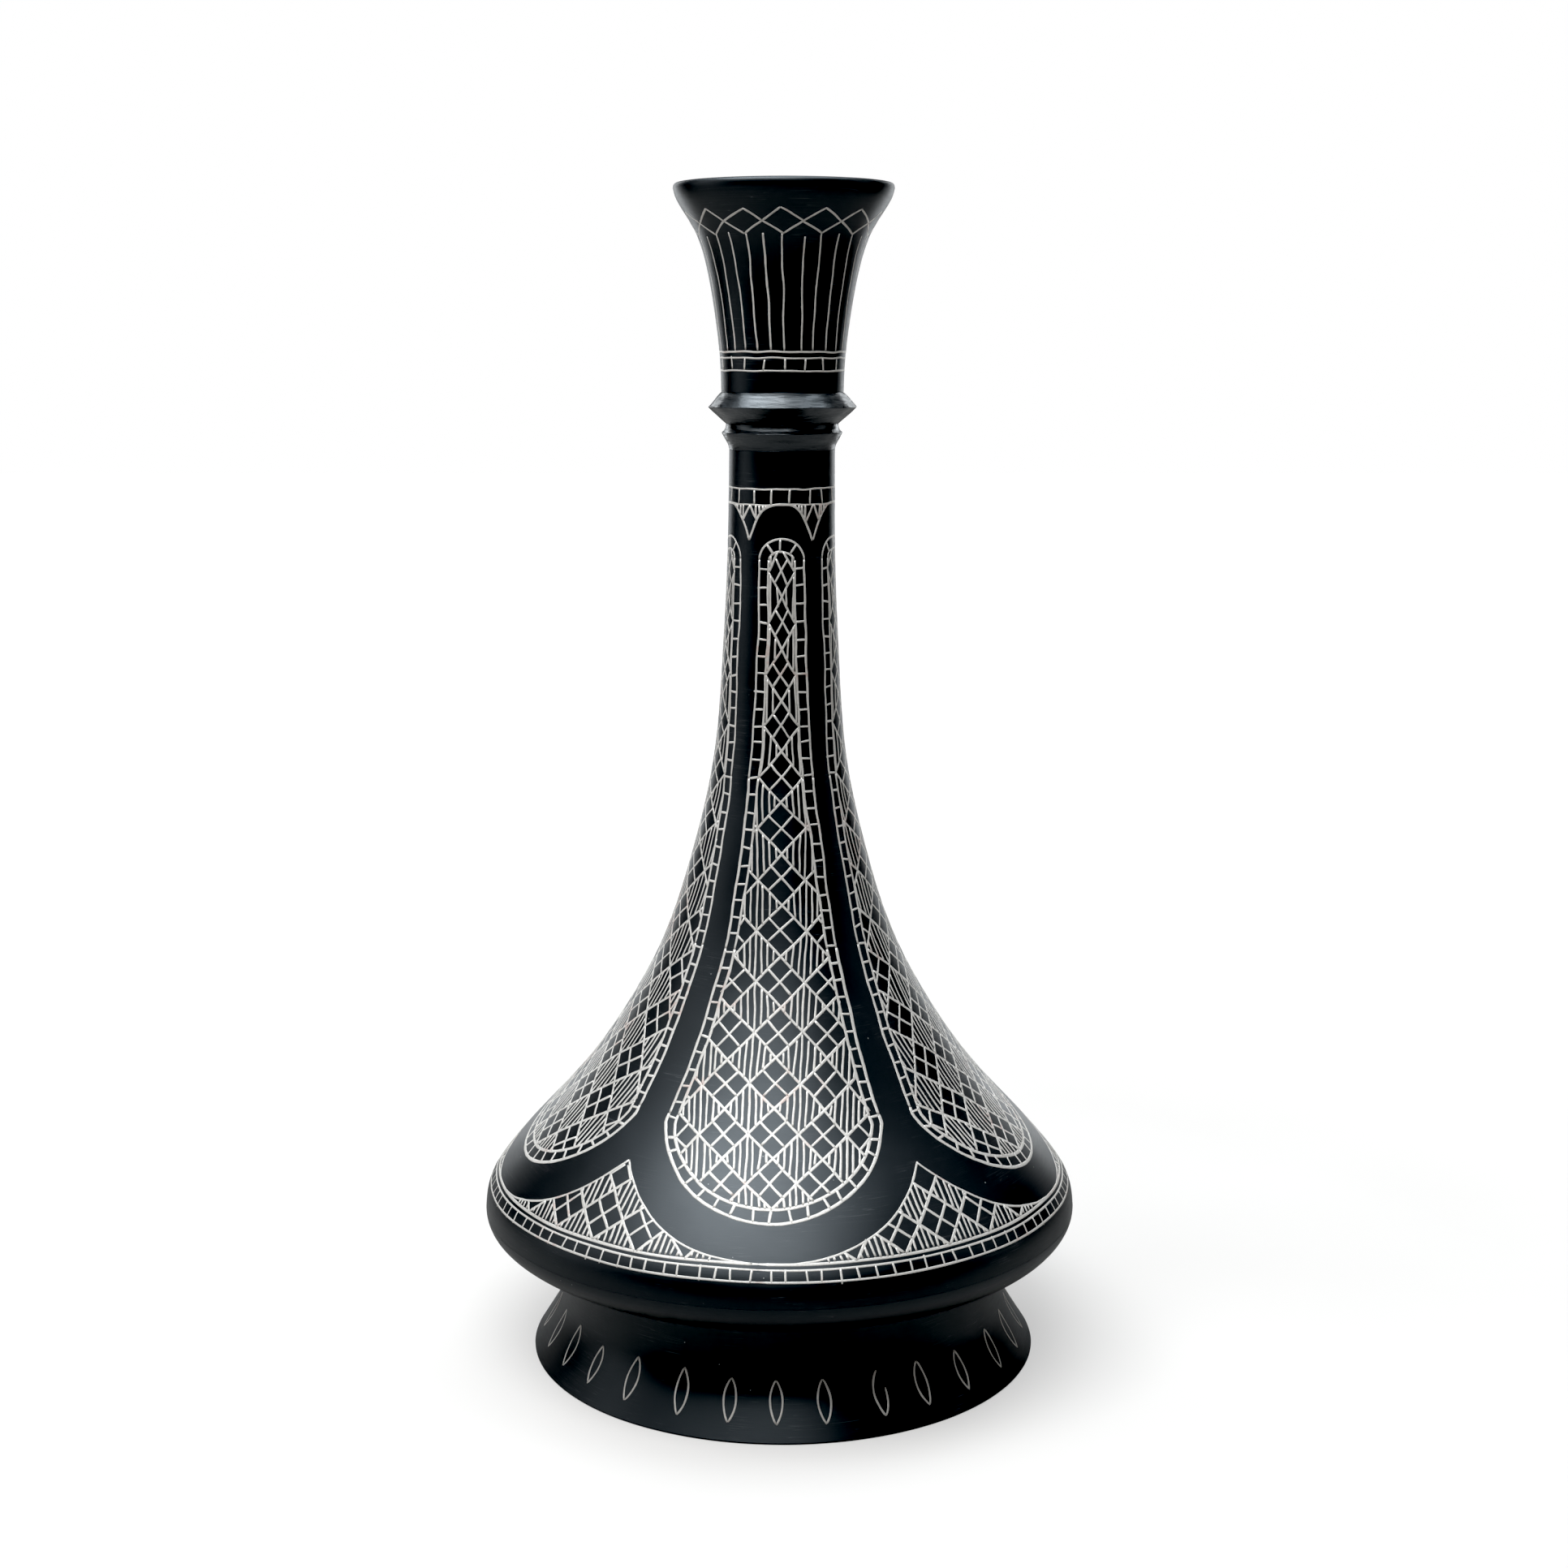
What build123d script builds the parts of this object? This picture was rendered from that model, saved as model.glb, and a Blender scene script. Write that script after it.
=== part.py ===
from build123d import *
import math
import os

# Long-necked bidri flask (surahi): a black zinc-alloy casting in six turned pieces, soldered together,
# with fine silver wire hammered flush into its surface. Millimetres, +Z up, origin on the flask's
# axis in the plane it stands on. The middle of the front panel faces -Y.

# Driving dimensions of the castings
HEIGHT = 204.0
WALL = 2.0
BORE_R = 7.0
SHOULDER_R, SHOULDER_Z = 52.6, 26.7
SEAT_R, SEAT_Z = 39.4, 18.5
FLOOR_Z = 20.7
FOOT_R = 45.2
FOOT_BORE_R = 31.0
NECK_R, NECK_TOP = 9.0, 160.0
SOCKET_R = 8.0
WAIST_R, WAIST_Z = 9.6, 164.0
CUP_R, CUP_Z = 10.4, 169.6
LIP_R, LIP_Z = 18.7, 202.8
SPIGOT_IN_R, SPIGOT_R, SPIGOT_TOP = 48.7, 50.5, 29.9
SOCKET_TOP = 165.8
SOLDER = 0.3
SEAT_SOLDER_IN_R, SEAT_SOLDER_R = 33.0, 37.5

# Silver wire: how far it is sunk and left standing, its two gauges, and the longest straight stretch
SINK, PROUD = 0.45, 0.03
THIN, MEDIUM = 0.4, 0.5
STRIDE = 3.0

# Inlay. Distances marked "along" run up the wall from the shoulder, or up the cup from its foot.
PANELS = 5
PITCH = 360.0 / PANELS
BORDER = 1.7
PANEL_BOTTOM, PANEL_SPRING, PANEL_ARCH, PANEL_TOP = 14.0, 30.0, 127.0, 130.6
PANEL_SIDES = [(30.0, 30.6), (60.0, 29.1), (90.0, 27.0), (110.0, 24.3), (127.0, 24.4)]
RUNG_STEP = 2.98
HATCH_PITCH = 1.08
SPANDREL_BASE, SPANDREL_TIP, SPANDREL_CURVE = 7.3, 22.0, 2.4
SHOULDER_RINGS = (4.5, 6.45, SPANDREL_BASE)
SHOULDER_TICKS = 110
NECK_RINGS = (136.2, 138.8)
NECK_TICKS = 18
PENDANT_TIP = 130.2
CUP_RINGS = (3.6, 5.7, 6.7)
CUP_TICKS = 18
FLUTES = 28
FLUTE_FOOT, FLUTE_TOP, FLUTE_LEAN = 7.0, 25.2, 3.0
DIAMONDS = 14
CHAIN_LOW, CHAIN_MIDDLE, CHAIN_HIGH = 26.0, 28.2, 30.5
LEAVES = 30
LEAF_LOW, LEAF_HIGH, LEAF_WIDTH = 3.1, 10.5, 2.2


def curve(*stations):
    """A smooth turned outline through (radius, height) stations."""
    return Spline(*[(r, 0, z) for r, z in stations])


def straight(*stations):
    return Polyline(*[(r, 0, z) for r, z in stations])


BELL_LINE = curve(
    (SHOULDER_R, SHOULDER_Z), (52.1, 30), (49.7, 34), (42.8, 42), (35.6, 50), (27.1, 62),
    (20.3, 75), (14.8, 92), (11.4, 108), (10.1, 124), (9.3, 140), (NECK_R, NECK_TOP),
)
CUP_LINE = curve(
    (CUP_R, CUP_Z), (10.55, 175), (11.5, 182), (12.95, 190), (14.9, 196), (17.55, 200), (LIP_R, LIP_Z)
)
FOOT_LINE = curve((FOOT_R, 0), (42.4, 4.5), (40.0, 9), (39.2, 14), (SEAT_R, SEAT_Z))


def station(line, along):
    """Radius, height and outward normal of a turned outline, some way along it."""
    place = line.position_at(along / line.length)
    run = line.tangent_at(along / line.length)
    return place.X, place.Z, run.Z, -run.X


def degrees_of(line, width, along):
    """The angle round the axis that a width takes up on the wall."""
    return math.degrees(width / station(line, along)[0])


def spot(line, angle, along, lift):
    """A point lifted off the wall, at an angle round the axis from the front."""
    r, z, out, up = station(line, along)
    reach = r + lift * out
    turn = math.radians(angle)
    return Vector(reach * math.sin(turn), -reach * math.cos(turn), z + lift * up)


def inlay(line, path, width):
    """One wire pressed into the wall along a path of (angle, distance along) stations."""
    tops = [spot(line, angle, along, PROUD) for angle, along in path]
    beds = [spot(line, angle, along, -SINK) for angle, along in path]
    last = len(path) - 1
    sections = []
    for i, (top, bed) in enumerate(zip(tops, beds)):
        ahead = tops[min(i + 1, last)] - tops[max(i - 1, 0)]
        side = (top - bed).cross(ahead).normalized() * (width / 2)
        sections.append(Wire.make_polygon([top + side, top - side, bed - side, bed + side]))
    return Solid.make_loft(sections, ruled=True)


def ring(line, along, width):
    """A wire let into the wall all the way round."""
    r, z, out, up = station(line, along)
    corners = [
        (r + lift * out - step * up, 0, z + lift * up + step * out)
        for step, lift in ((-width / 2, PROUD), (width / 2, PROUD), (width / 2, -SINK), (-width / 2, -SINK))
    ]
    return revolve(Face(Wire.make_polygon(corners)), Axis.Z)


def turned(*lines):
    """A casting turned about the axis from the lines of its closed half-section."""
    return revolve(make_face([edge for line in lines for edge in line.edges()]), Axis.Z)


def inset_curve(line, first, last, count):
    """Stations one wall thickness inside a turned outline."""
    stations = []
    for i in range(count):
        r, z, out, up = station(line, first + (last - first) * i / (count - 1))
        stations.append((r - WALL * out, z - WALL * up))
    return stations


# Castings and the solder between them


def foot_ring():
    inside = curve((FOOT_BORE_R + 5, SEAT_Z - WALL), (37.3, 14), (38.0, 9), (40.3, 4.5), (FOOT_R - 2.4, 0))
    groove = SEAT_Z - SOLDER
    top = straight(
        (SEAT_R, SEAT_Z), (SEAT_SOLDER_R, SEAT_Z), (SEAT_SOLDER_R, groove), (SEAT_SOLDER_IN_R, groove),
        (SEAT_SOLDER_IN_R, SEAT_Z), (FOOT_BORE_R, SEAT_Z), (FOOT_BORE_R, SEAT_Z - WALL),
        (FOOT_BORE_R + 5, SEAT_Z - WALL),
    )
    return turned(FOOT_LINE, top, inside, straight((FOOT_R - 2.4, 0), (FOOT_R, 0)))


def solder_ring(inner, outer, low, high):
    """A flat ring of solder, square in section."""
    return turned(straight((inner, low), (outer, low), (outer, high), (inner, high), (inner, low)))


def lower_bowl():
    """The shallow dish under the shoulder: an elliptical underside cut flat where the foot joins it."""
    wide = 21.5
    seat_turn = math.acos(1 - (SHOULDER_R - SEAT_R) / wide)
    deep = (SHOULDER_Z - SEAT_Z) / math.sin(seat_turn)
    under = []
    for i in range(6):
        turn = seat_turn * i / 5
        under.append((SHOULDER_R - wide * (1 - math.cos(turn)), SHOULDER_Z - deep * math.sin(turn)))
    well = ThreePointArc((SPIGOT_IN_R, 0, 26), (45.4, 0, 22.3), (37, 0, FLOOR_Z))
    return turned(
        curve(*under),
        straight((SEAT_R, SEAT_Z), (0, SEAT_Z), (0, FLOOR_Z), (37, FLOOR_Z)),
        well,
        straight(
            (SPIGOT_IN_R, 26), (SPIGOT_IN_R, SPIGOT_TOP), (SPIGOT_R, SPIGOT_TOP), (SPIGOT_R, SHOULDER_Z),
            (SHOULDER_R, SHOULDER_Z),
        ),
    )


def bell_and_neck():
    """The long bell from shoulder to neck, one hollow casting with a socket below and a spigot above."""
    inside = inset_curve(BELL_LINE, 8, BELL_LINE.length - 20, 8) + [(BORE_R, NECK_TOP)]
    step = SPIGOT_TOP + SOLDER
    spigot = straight(
        (NECK_R, NECK_TOP), (SOCKET_R, NECK_TOP), (SOCKET_R, SOCKET_TOP), (BORE_R, SOCKET_TOP),
        (BORE_R, NECK_TOP),
    )
    rim = straight(
        inside[0], (SPIGOT_IN_R, step), (SPIGOT_R, step), (SPIGOT_R, SHOULDER_Z), (SHOULDER_R, SHOULDER_Z)
    )
    return turned(BELL_LINE, spigot, curve(*inside), rim)


def lower_collar():
    bead = curve((NECK_R, NECK_TOP), (9.9, 161.2), (10.2, 162.3), (9.95, 163.3), (WAIST_R, WAIST_Z))
    return turned(
        bead, straight((WAIST_R, WAIST_Z), (SOCKET_R, WAIST_Z), (SOCKET_R, NECK_TOP), (NECK_R, NECK_TOP))
    )


def upper_collar():
    edge_r, edge_z = 12.6, 167.2
    return turned(
        curve((WAIST_R, WAIST_Z), (11.6, 165.1), (edge_r, edge_z)),
        curve((edge_r, edge_z), (12.0, 168.6), (CUP_R, CUP_Z)),
        straight((CUP_R, CUP_Z), (SOCKET_R, CUP_Z), (SOCKET_R, WAIST_Z), (WAIST_R, WAIST_Z)),
    )


def mouth_cup():
    inner_lip = (16.9, 203.1)
    inside = curve(
        inner_lip, (15.8, 200.9), (13.3, 197), (11.2, 190.5), (9.7, 182), (8.7, 175.5), (BORE_R, CUP_Z)
    )
    lip = ThreePointArc((LIP_R, 0, LIP_Z), (18.0, 0, HEIGHT), (inner_lip[0], 0, inner_lip[1]))
    end = SOCKET_TOP + SOLDER
    spigot = straight((BORE_R, CUP_Z), (BORE_R, end), (SOCKET_R, end), (SOCKET_R, CUP_Z), (CUP_R, CUP_Z))
    return turned(CUP_LINE, lip, inside, spigot)


# Panel, spandrel and lattice outlines, as half-angles and distances along the wall


def side_angle(along):
    """Half-angle of a panel between its round ends."""
    for (low, wide), (high, narrow) in zip(PANEL_SIDES, PANEL_SIDES[1:]):
        if along <= high:
            share = max(0.0, (along - low) / (high - low))
            return wide + (narrow - wide) * share
    return PANEL_SIDES[-1][1]


def panel_half_angle(along, inset):
    """Half-angle of a panel's outline, moved in by an inset."""
    half = side_angle(along) - degrees_of(BELL_LINE, inset, along)
    if along < PANEL_SPRING:
        depth = (PANEL_SPRING - along) / (PANEL_SPRING - PANEL_BOTTOM - 1.35 * inset)
        width = math.radians(PANEL_SIDES[0][1]) * station(BELL_LINE, PANEL_SPRING)[0] - inset
        return degrees_of(BELL_LINE, width, along) * math.sqrt(max(0.0, 1 - depth**2))
    if along > PANEL_ARCH:
        rise = (along - PANEL_ARCH) / (PANEL_TOP - PANEL_ARCH - 1.2 * inset)
        return half * math.sqrt(max(0.0, 1 - rise**2))
    return half


def panel_end_point(inset, turn, top):
    """A point on the round top or bottom of a panel; turn runs 0 to 180 degrees from side to side."""
    reach, swing = math.cos(math.radians(turn)), math.sin(math.radians(turn))
    if top:
        along = PANEL_ARCH + (PANEL_TOP - PANEL_ARCH - 1.2 * inset) * swing
        return (side_angle(PANEL_ARCH) - degrees_of(BELL_LINE, inset, PANEL_ARCH)) * reach, along
    along = PANEL_SPRING - (PANEL_SPRING - PANEL_BOTTOM - 1.35 * inset) * swing
    width = math.radians(PANEL_SIDES[0][1]) * station(BELL_LINE, PANEL_SPRING)[0] - inset
    return degrees_of(BELL_LINE, width * reach, along), along


def panel_outline():
    wires = []
    for inset in (0.0, BORDER):
        bottom = [panel_end_point(inset, turn, False) for turn in range(90, 0, -10)]
        sides = [(panel_half_angle(along, inset), along) for along in range(30, 127, 8)]
        top = [panel_end_point(inset, turn, True) for turn in range(0, 100, 15)]
        path = bottom + sides + top
        for hand in (1, -1):
            wires.append(inlay(BELL_LINE, [(hand * angle, along) for angle, along in path], MEDIUM))
    return wires


def panel_rungs():
    """Short wires that cross the border like the rungs of a ladder."""
    wires = []
    gap = MEDIUM / 2
    for i in range(33):
        along = PANEL_ARCH - 1.6 - RUNG_STEP * i
        outer = panel_half_angle(along, gap)
        inner = panel_half_angle(along, BORDER - gap)
        for hand in (1, -1):
            wires.append(inlay(BELL_LINE, [(hand * inner, along), (hand * outer, along)], THIN))
    for turn, top in [(t, False) for t in range(10, 180, 10)] + [(t, True) for t in (45, 90, 135)]:
        ends = [panel_end_point(inset, turn, top) for inset in (BORDER - gap, gap)]
        wires.append(inlay(BELL_LINE, ends, THIN))
    return wires


def spandrel_height(angle):
    """How far up the wall a spandrel's curved side stands, at an angle from its tip."""
    return SPANDREL_BASE + (SPANDREL_TIP - SPANDREL_BASE) * (1 - abs(angle) / (PITCH / 2)) ** SPANDREL_CURVE


def spandrel_outline():
    wires = []
    for hand in (1, -1):
        path = [(hand * angle, spandrel_height(angle)) for angle in (30, 26, 22, 18, 14, 10, 7, 4, 2, 0.3)]
        wires.append(inlay(BELL_LINE, path, MEDIUM))
    return wires


class Lattice:
    """Diamonds between crossed wires; every other diamond is hatched, the rest are quartered."""

    def __init__(self, start, row, column, sag, columns, rows, contains):
        self.start, self.row, self.column, self.sag = start, row, column, sag
        self.columns, self.rows, self.contains = columns, rows, contains
        self.butt = 0.75 * MEDIUM

    def place(self, u, v):
        """The wall position of lattice coordinates: u in columns from the middle, v in rows."""
        along = self.start + self.row * v - self.sag * u * u
        return u * self.column(along), along

    def kept(self, start, end, trim, stride):
        """The part of a straight lattice line that lies inside the outline, as a path of strides."""
        length = math.dist(start, end) * self.row
        shares = [i / 60 for i in range(61)]
        shares = [t for t in shares if trim / length <= t <= 1 - trim / length]
        inside = [t for t in shares if self.contains(*self.at(start, end, t))]
        if len(inside) < 2 or (inside[-1] - inside[0]) * length < 0.8:
            return None
        low, high = inside[0], inside[-1]
        steps = math.ceil((high - low) * length / stride)
        return [self.at(start, end, low + (high - low) * i / steps) for i in range(steps + 1)]

    def at(self, start, end, share):
        return self.place(start[0] + (end[0] - start[0]) * share, start[1] + (end[1] - start[1]) * share)

    def draw(self, lines, width):
        paths = [self.kept(*line) for line in lines]
        return [inlay(BELL_LINE, path, width) for path in paths if path]

    def nodes(self, odd_columns, odd_rows):
        for i in range(-self.columns, self.columns + 1):
            for j in range(-1, self.rows + 1):
                if i % 2 == odd_columns and j % 2 == odd_rows:
                    yield i, j

    def net(self):
        """Long wires one way, short wires butted between them the other way, and the quartering wires."""
        wide = self.columns + 0.5
        long_lines = [((-wide, c - wide), (wide, c + wide), 0, STRIDE) for c in range(-4, self.rows + 4, 2)]
        short_lines = []
        for parity in (0, 1):
            for i, j in self.nodes(parity, parity):
                short_lines.append(((i, j), (i - 1, j + 1), self.butt, STRIDE))
        cross_lines = []
        for i, j in self.nodes(0, 1):
            cross_lines.append(((i - 0.5, j - 0.5), (i + 0.5, j + 0.5), self.butt, STRIDE))
            cross_lines.append(((i + 0.5, j - 0.5), (i, j), self.butt, STRIDE))
            cross_lines.append(((i, j), (i - 0.5, j + 0.5), self.butt, STRIDE))
        return self.draw(long_lines + short_lines, MEDIUM) + self.draw(cross_lines, THIN)

    def hatch(self):
        lines = []
        for i, j in self.nodes(1, 0):
            along = self.place(i, j)[1]
            column_width = math.radians(self.column(along)) * station(BELL_LINE, along)[0]
            step = HATCH_PITCH / column_width
            for k in range(-4, 5):
                half = 1 - abs(k) * step
                if half > 0:
                    lines.append(((i + k * step, j - half), (i + k * step, j + half), self.butt, 3 * STRIDE))
        return self.draw(lines, THIN)


def panel_lattice():
    def column(along):
        inner = side_angle(along) - degrees_of(BELL_LINE, BORDER, along)
        return min(degrees_of(BELL_LINE, 4.17, along), inner)

    def contains(angle, along):
        if not PANEL_BOTTOM + 2 < along < PANEL_TOP - 1.5:
            return False
        return abs(angle) < panel_half_angle(along, BORDER + MEDIUM / 2)

    return Lattice(25.2, 4.34, column, 0.12, 4, 24, contains)


def spandrel_lattice():
    def column(along):
        return degrees_of(BELL_LINE, 4.35, along)

    def contains(angle, along):
        if abs(angle) > 29:
            return False
        return SPANDREL_BASE + MEDIUM / 2 < along < spandrel_height(angle) - MEDIUM / 2

    return Lattice(SPANDREL_BASE, 4.5, column, 0.0, 6, 3, contains)


# Bands, mouth and foot


def ticks(line, count, low, high, width):
    gap = MEDIUM / 2
    angles = [360 * i / count for i in range(count)]
    return [inlay(line, [(angle, low + gap), (angle, high - gap)], width) for angle in angles]


def pendant_height(angle):
    """Lower edge of the pendants under the neck band, at an angle from a panel's middle line."""
    return NECK_RINGS[0] - (NECK_RINGS[0] - PENDANT_TIP) * (abs(angle) / (PITCH / 2)) ** 3


def pendant_outlines():
    """The arch over each panel, and the two sides of the diamond in each pendant."""
    wires = []
    tip = PITCH / 2 - 1.5
    corner = PITCH / 2 - 8.5
    arch = [-tip] + [PITCH / 2 * i / 10 for i in range(-9, 10, 2)] + [tip]
    for k in range(PANELS):
        middle = k * PITCH
        wires.append(inlay(BELL_LINE, [(middle + a, pendant_height(a) - MEDIUM / 2) for a in arch], MEDIUM))
        for hand in (1, -1):
            top = (middle + hand * tip, NECK_RINGS[0] - 0.5)
            foot = (middle + hand * corner, pendant_height(corner) + 0.3)
            wires.append(inlay(BELL_LINE, [top, foot], THIN))
    return wires


def pendant_hatch():
    wires = []
    for k in range(PANELS):
        for away in (12.0, 16.0, 20.5):
            for hand in (1, -1):
                angle = hand * (PITCH / 2 - away)
                place = k * PITCH + angle
                low, high = pendant_height(angle) + 0.02, NECK_RINGS[0] - MEDIUM / 2
                if high - low > 0.2:
                    wires.append(inlay(BELL_LINE, [(place, low), (place, high)], THIN))
    return wires


def mouth_diamonds():
    """A chain of diamonds under the lip: a bent wire above and one below, for each diamond."""
    wires = []
    step = 360 / DIAMONDS
    reach = step / 2 - 1.6
    for k in range(DIAMONDS):
        for tip, slope in ((CHAIN_HIGH, -1), (CHAIN_LOW, 1)):
            end = CHAIN_MIDDLE - slope * 0.3
            path = [(k * step - reach, end), (k * step, tip), (k * step + reach, end)]
            wires.append(inlay(CUP_LINE, path, MEDIUM))
    return wires


def mouth_flutes():
    wires = []
    for k in range(FLUTES):
        path = []
        for i in range(7):
            share = i / 6
            along = FLUTE_TOP + (FLUTE_FOOT - FLUTE_TOP) * share
            path.append((360 * k / FLUTES + FLUTE_LEAN * share, along))
        wires.append(inlay(CUP_LINE, path, MEDIUM))
    return wires


def foot_leaves():
    wires = []
    for k in range(LEAVES):
        for hand in (1, -1):
            path = []
            for i in range(7):
                share = 0.04 + 0.92 * i / 6
                along = LEAF_LOW + (LEAF_HIGH - LEAF_LOW) * share
                swell = LEAF_WIDTH / 2 * math.sin(math.pi * share) ** 0.8 + 0.1
                path.append((360 * k / LEAVES + hand * degrees_of(FOOT_LINE, swell, along), along))
            wires.append(inlay(FOOT_LINE, path, THIN))
    return wires


def save(name, shape):
    export_step(shape, f"parts/{name}.step", write_pcurves=False)


def main():
    os.makedirs("parts", exist_ok=True)
    shoulder_rings = [ring(BELL_LINE, along, MEDIUM) for along in SHOULDER_RINGS]
    neck_rings = [ring(BELL_LINE, along, MEDIUM) for along in NECK_RINGS]
    cup_rings = [ring(CUP_LINE, along, MEDIUM) for along in CUP_RINGS]

    bell = bell_and_neck()
    for wire in shoulder_rings + neck_rings:
        bell -= wire
    cup = mouth_cup()
    for wire in cup_rings:
        cup -= wire

    castings = {
        "foot_ring": foot_ring(), "lower_bowl": lower_bowl(), "bell_and_neck": bell,
        "lower_collar": lower_collar(), "upper_collar": upper_collar(), "mouth_cup": cup,
        "foot_solder": solder_ring(SEAT_SOLDER_IN_R, SEAT_SOLDER_R, SEAT_Z - SOLDER, SEAT_Z),
        "shoulder_solder": solder_ring(SPIGOT_IN_R + 0.2, SPIGOT_R, SPIGOT_TOP, SPIGOT_TOP + SOLDER),
        "neck_solder": solder_ring(BORE_R, SOCKET_R, SOCKET_TOP, SOCKET_TOP + SOLDER),
    }
    for name, shape in castings.items():
        save(name, shape)

    inlays = {
        "shoulder_rings": shoulder_rings,
        "neck_rings": neck_rings,
        "mouth_rings": cup_rings,
        "mouth_ticks": ticks(CUP_LINE, CUP_TICKS, *CUP_RINGS[:2], MEDIUM),
        "mouth_diamonds": mouth_diamonds(),
        "mouth_flutes": mouth_flutes(),
        "neck_ticks": ticks(BELL_LINE, NECK_TICKS, *NECK_RINGS, MEDIUM),
        "pendant_outlines": pendant_outlines(),
        "pendant_hatch": pendant_hatch(),
        "shoulder_ticks": ticks(BELL_LINE, SHOULDER_TICKS, *SHOULDER_RINGS[:2], THIN),
        "foot_leaves": foot_leaves(),
    }
    for name, wires in inlays.items():
        save(name, Compound(wires))

    lattice = panel_lattice()
    panel = {
        "outline": panel_outline(), "rungs": panel_rungs(), "net": lattice.net(), "hatch": lattice.hatch(),
    }
    lattice = spandrel_lattice()
    spandrel = {"outline": spandrel_outline(), "net": lattice.net(), "hatch": lattice.hatch()}
    for group, offset, pieces in (("panel", 0, panel), ("spandrel", PITCH / 2, spandrel)):
        for k in range(PANELS):
            for piece, wires in pieces.items():
                save(f"{group}_{k + 1}_{piece}", Compound(wires).rotate(Axis.Z, k * PITCH + offset))


main()
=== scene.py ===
import math
import random

import bpy
import numpy as np
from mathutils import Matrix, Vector, noise


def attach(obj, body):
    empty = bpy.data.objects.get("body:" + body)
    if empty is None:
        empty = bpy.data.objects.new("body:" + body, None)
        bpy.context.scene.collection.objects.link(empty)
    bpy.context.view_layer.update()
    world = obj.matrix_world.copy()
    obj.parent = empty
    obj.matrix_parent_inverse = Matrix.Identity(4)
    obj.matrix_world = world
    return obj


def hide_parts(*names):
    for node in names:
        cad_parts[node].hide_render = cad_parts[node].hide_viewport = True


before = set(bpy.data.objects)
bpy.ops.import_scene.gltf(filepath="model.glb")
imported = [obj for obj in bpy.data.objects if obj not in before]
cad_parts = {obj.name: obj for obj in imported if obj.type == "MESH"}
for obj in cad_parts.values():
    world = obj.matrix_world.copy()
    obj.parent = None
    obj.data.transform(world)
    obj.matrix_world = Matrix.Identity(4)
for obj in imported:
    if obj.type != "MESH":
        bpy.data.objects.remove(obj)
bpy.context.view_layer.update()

# Long-necked bidri flask: a black cast body in six turned pieces, with silver wire hammered flush
# into it. Lengths here are millimetres; the meshes are written in metres. Distances "along" run up
# the wall from the shoulder, up the cup from its foot, or up the foot from the floor.

METRE = 0.001
SEGMENTS = 288

# The castings: walls, the joints between them, and the corners of their sections as (radius, height)
WALL, BORE_R, SOCKET_R = 2.0, 7.0, 8.0
FOOT_BORE_R, FLOOR_Z = 31.0, 20.7
SPIGOT_IN_R, SPIGOT_R, SPIGOT_TOP = 48.7, 50.5, 29.9
SOCKET_TOP, SOLDER = 165.8, 0.3
SEAT, SHOULDER, NECK_TOP = (39.4, 18.5), (52.6, 26.7), (9.0, 160.0)
BEAD_EDGE, WAIST = (10.3, 162.85), (9.6, 164.35)
COLLAR_EDGE, CUP_FOOT = (12.62, 167.15), (10.4, 169.6)

# How the castings stray from true: the neck's lean starts gently at a height, the foot sits to one
# side of the bell, the wall swells by (height, breadth), and the collars are filed outside a radius
LEAN, LEAN_START, LEAN_EASE = 0.0068, 75.0, 12.0
FOOT_ASIDE, ASIDE_START = 0.66, 25.0
SWELLS = ((0.045, 15.0), (0.018, 5.0))
FILED_FROM = 9.3

# The bell's panels, with the half-angles of their sides at distances along. The border is wider
# at their round ends than at their sides.
PANELS = 5
PITCH = 360.0 / PANELS
BORDER, BOTTOM_BORDER, TOP_BORDER = 1.75, 1.35, 1.2
PANEL_BOTTOM, PANEL_SPRING, PANEL_ARCH, PANEL_TOP = 14.0, 30.0, 127.0, 130.6
PANEL_SIDES = ((30.0, 30.6), (60.0, 29.1), (90.0, 27.0), (110.0, 24.3), (127.0, 24.4))
BOTTOM_WIRE_TOP = PANEL_SPRING + 1.5
RUNG_STEP = 2.95
HATCH_PITCH = 1.06

# The bands of the shoulder, neck, mouth and foot
SPANDREL_BASE, SPANDREL_TIP, SPANDREL_CURVE = 7.3, 22.0, 2.4
SHOULDER_RINGS = ((4.45, 0.38), (6.4, 0.38), (SPANDREL_BASE, 0.46))
SHOULDER_TICKS, NECK_TICKS, CUP_TICKS = 110, 18, 19
NECK_RINGS = (136.2, 138.8)
CUP_RINGS = (3.6, 5.7, 6.7)
PENDANT_TIP = 130.2
FLUTES, FLUTE_FOOT, FLUTE_LEAN = 28, 6.9, 3.0
DIAMONDS = 14
CHAIN_LOW, CHAIN_MIDDLE, CHAIN_HIGH = 26.0, 28.2, 30.6
LEAVES, LEAF_LOW, LEAF_HIGH, LEAF_WIDTH = 30, 3.1, 10.5, 2.2

# How the hand-drawn layout creeps round the bell: distances along it, and degrees there
CREEP_ALONG = (28, 45, 60, 75, 90, 105, 118, 130, 145)
CREEP_DEGREES = (-1.75, -0.65, 0.85, 1.7, 0.8, 1.1, 0.65, -0.2, -0.9)


# Outlines ---------------------------------------------------------------------------------------


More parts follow.
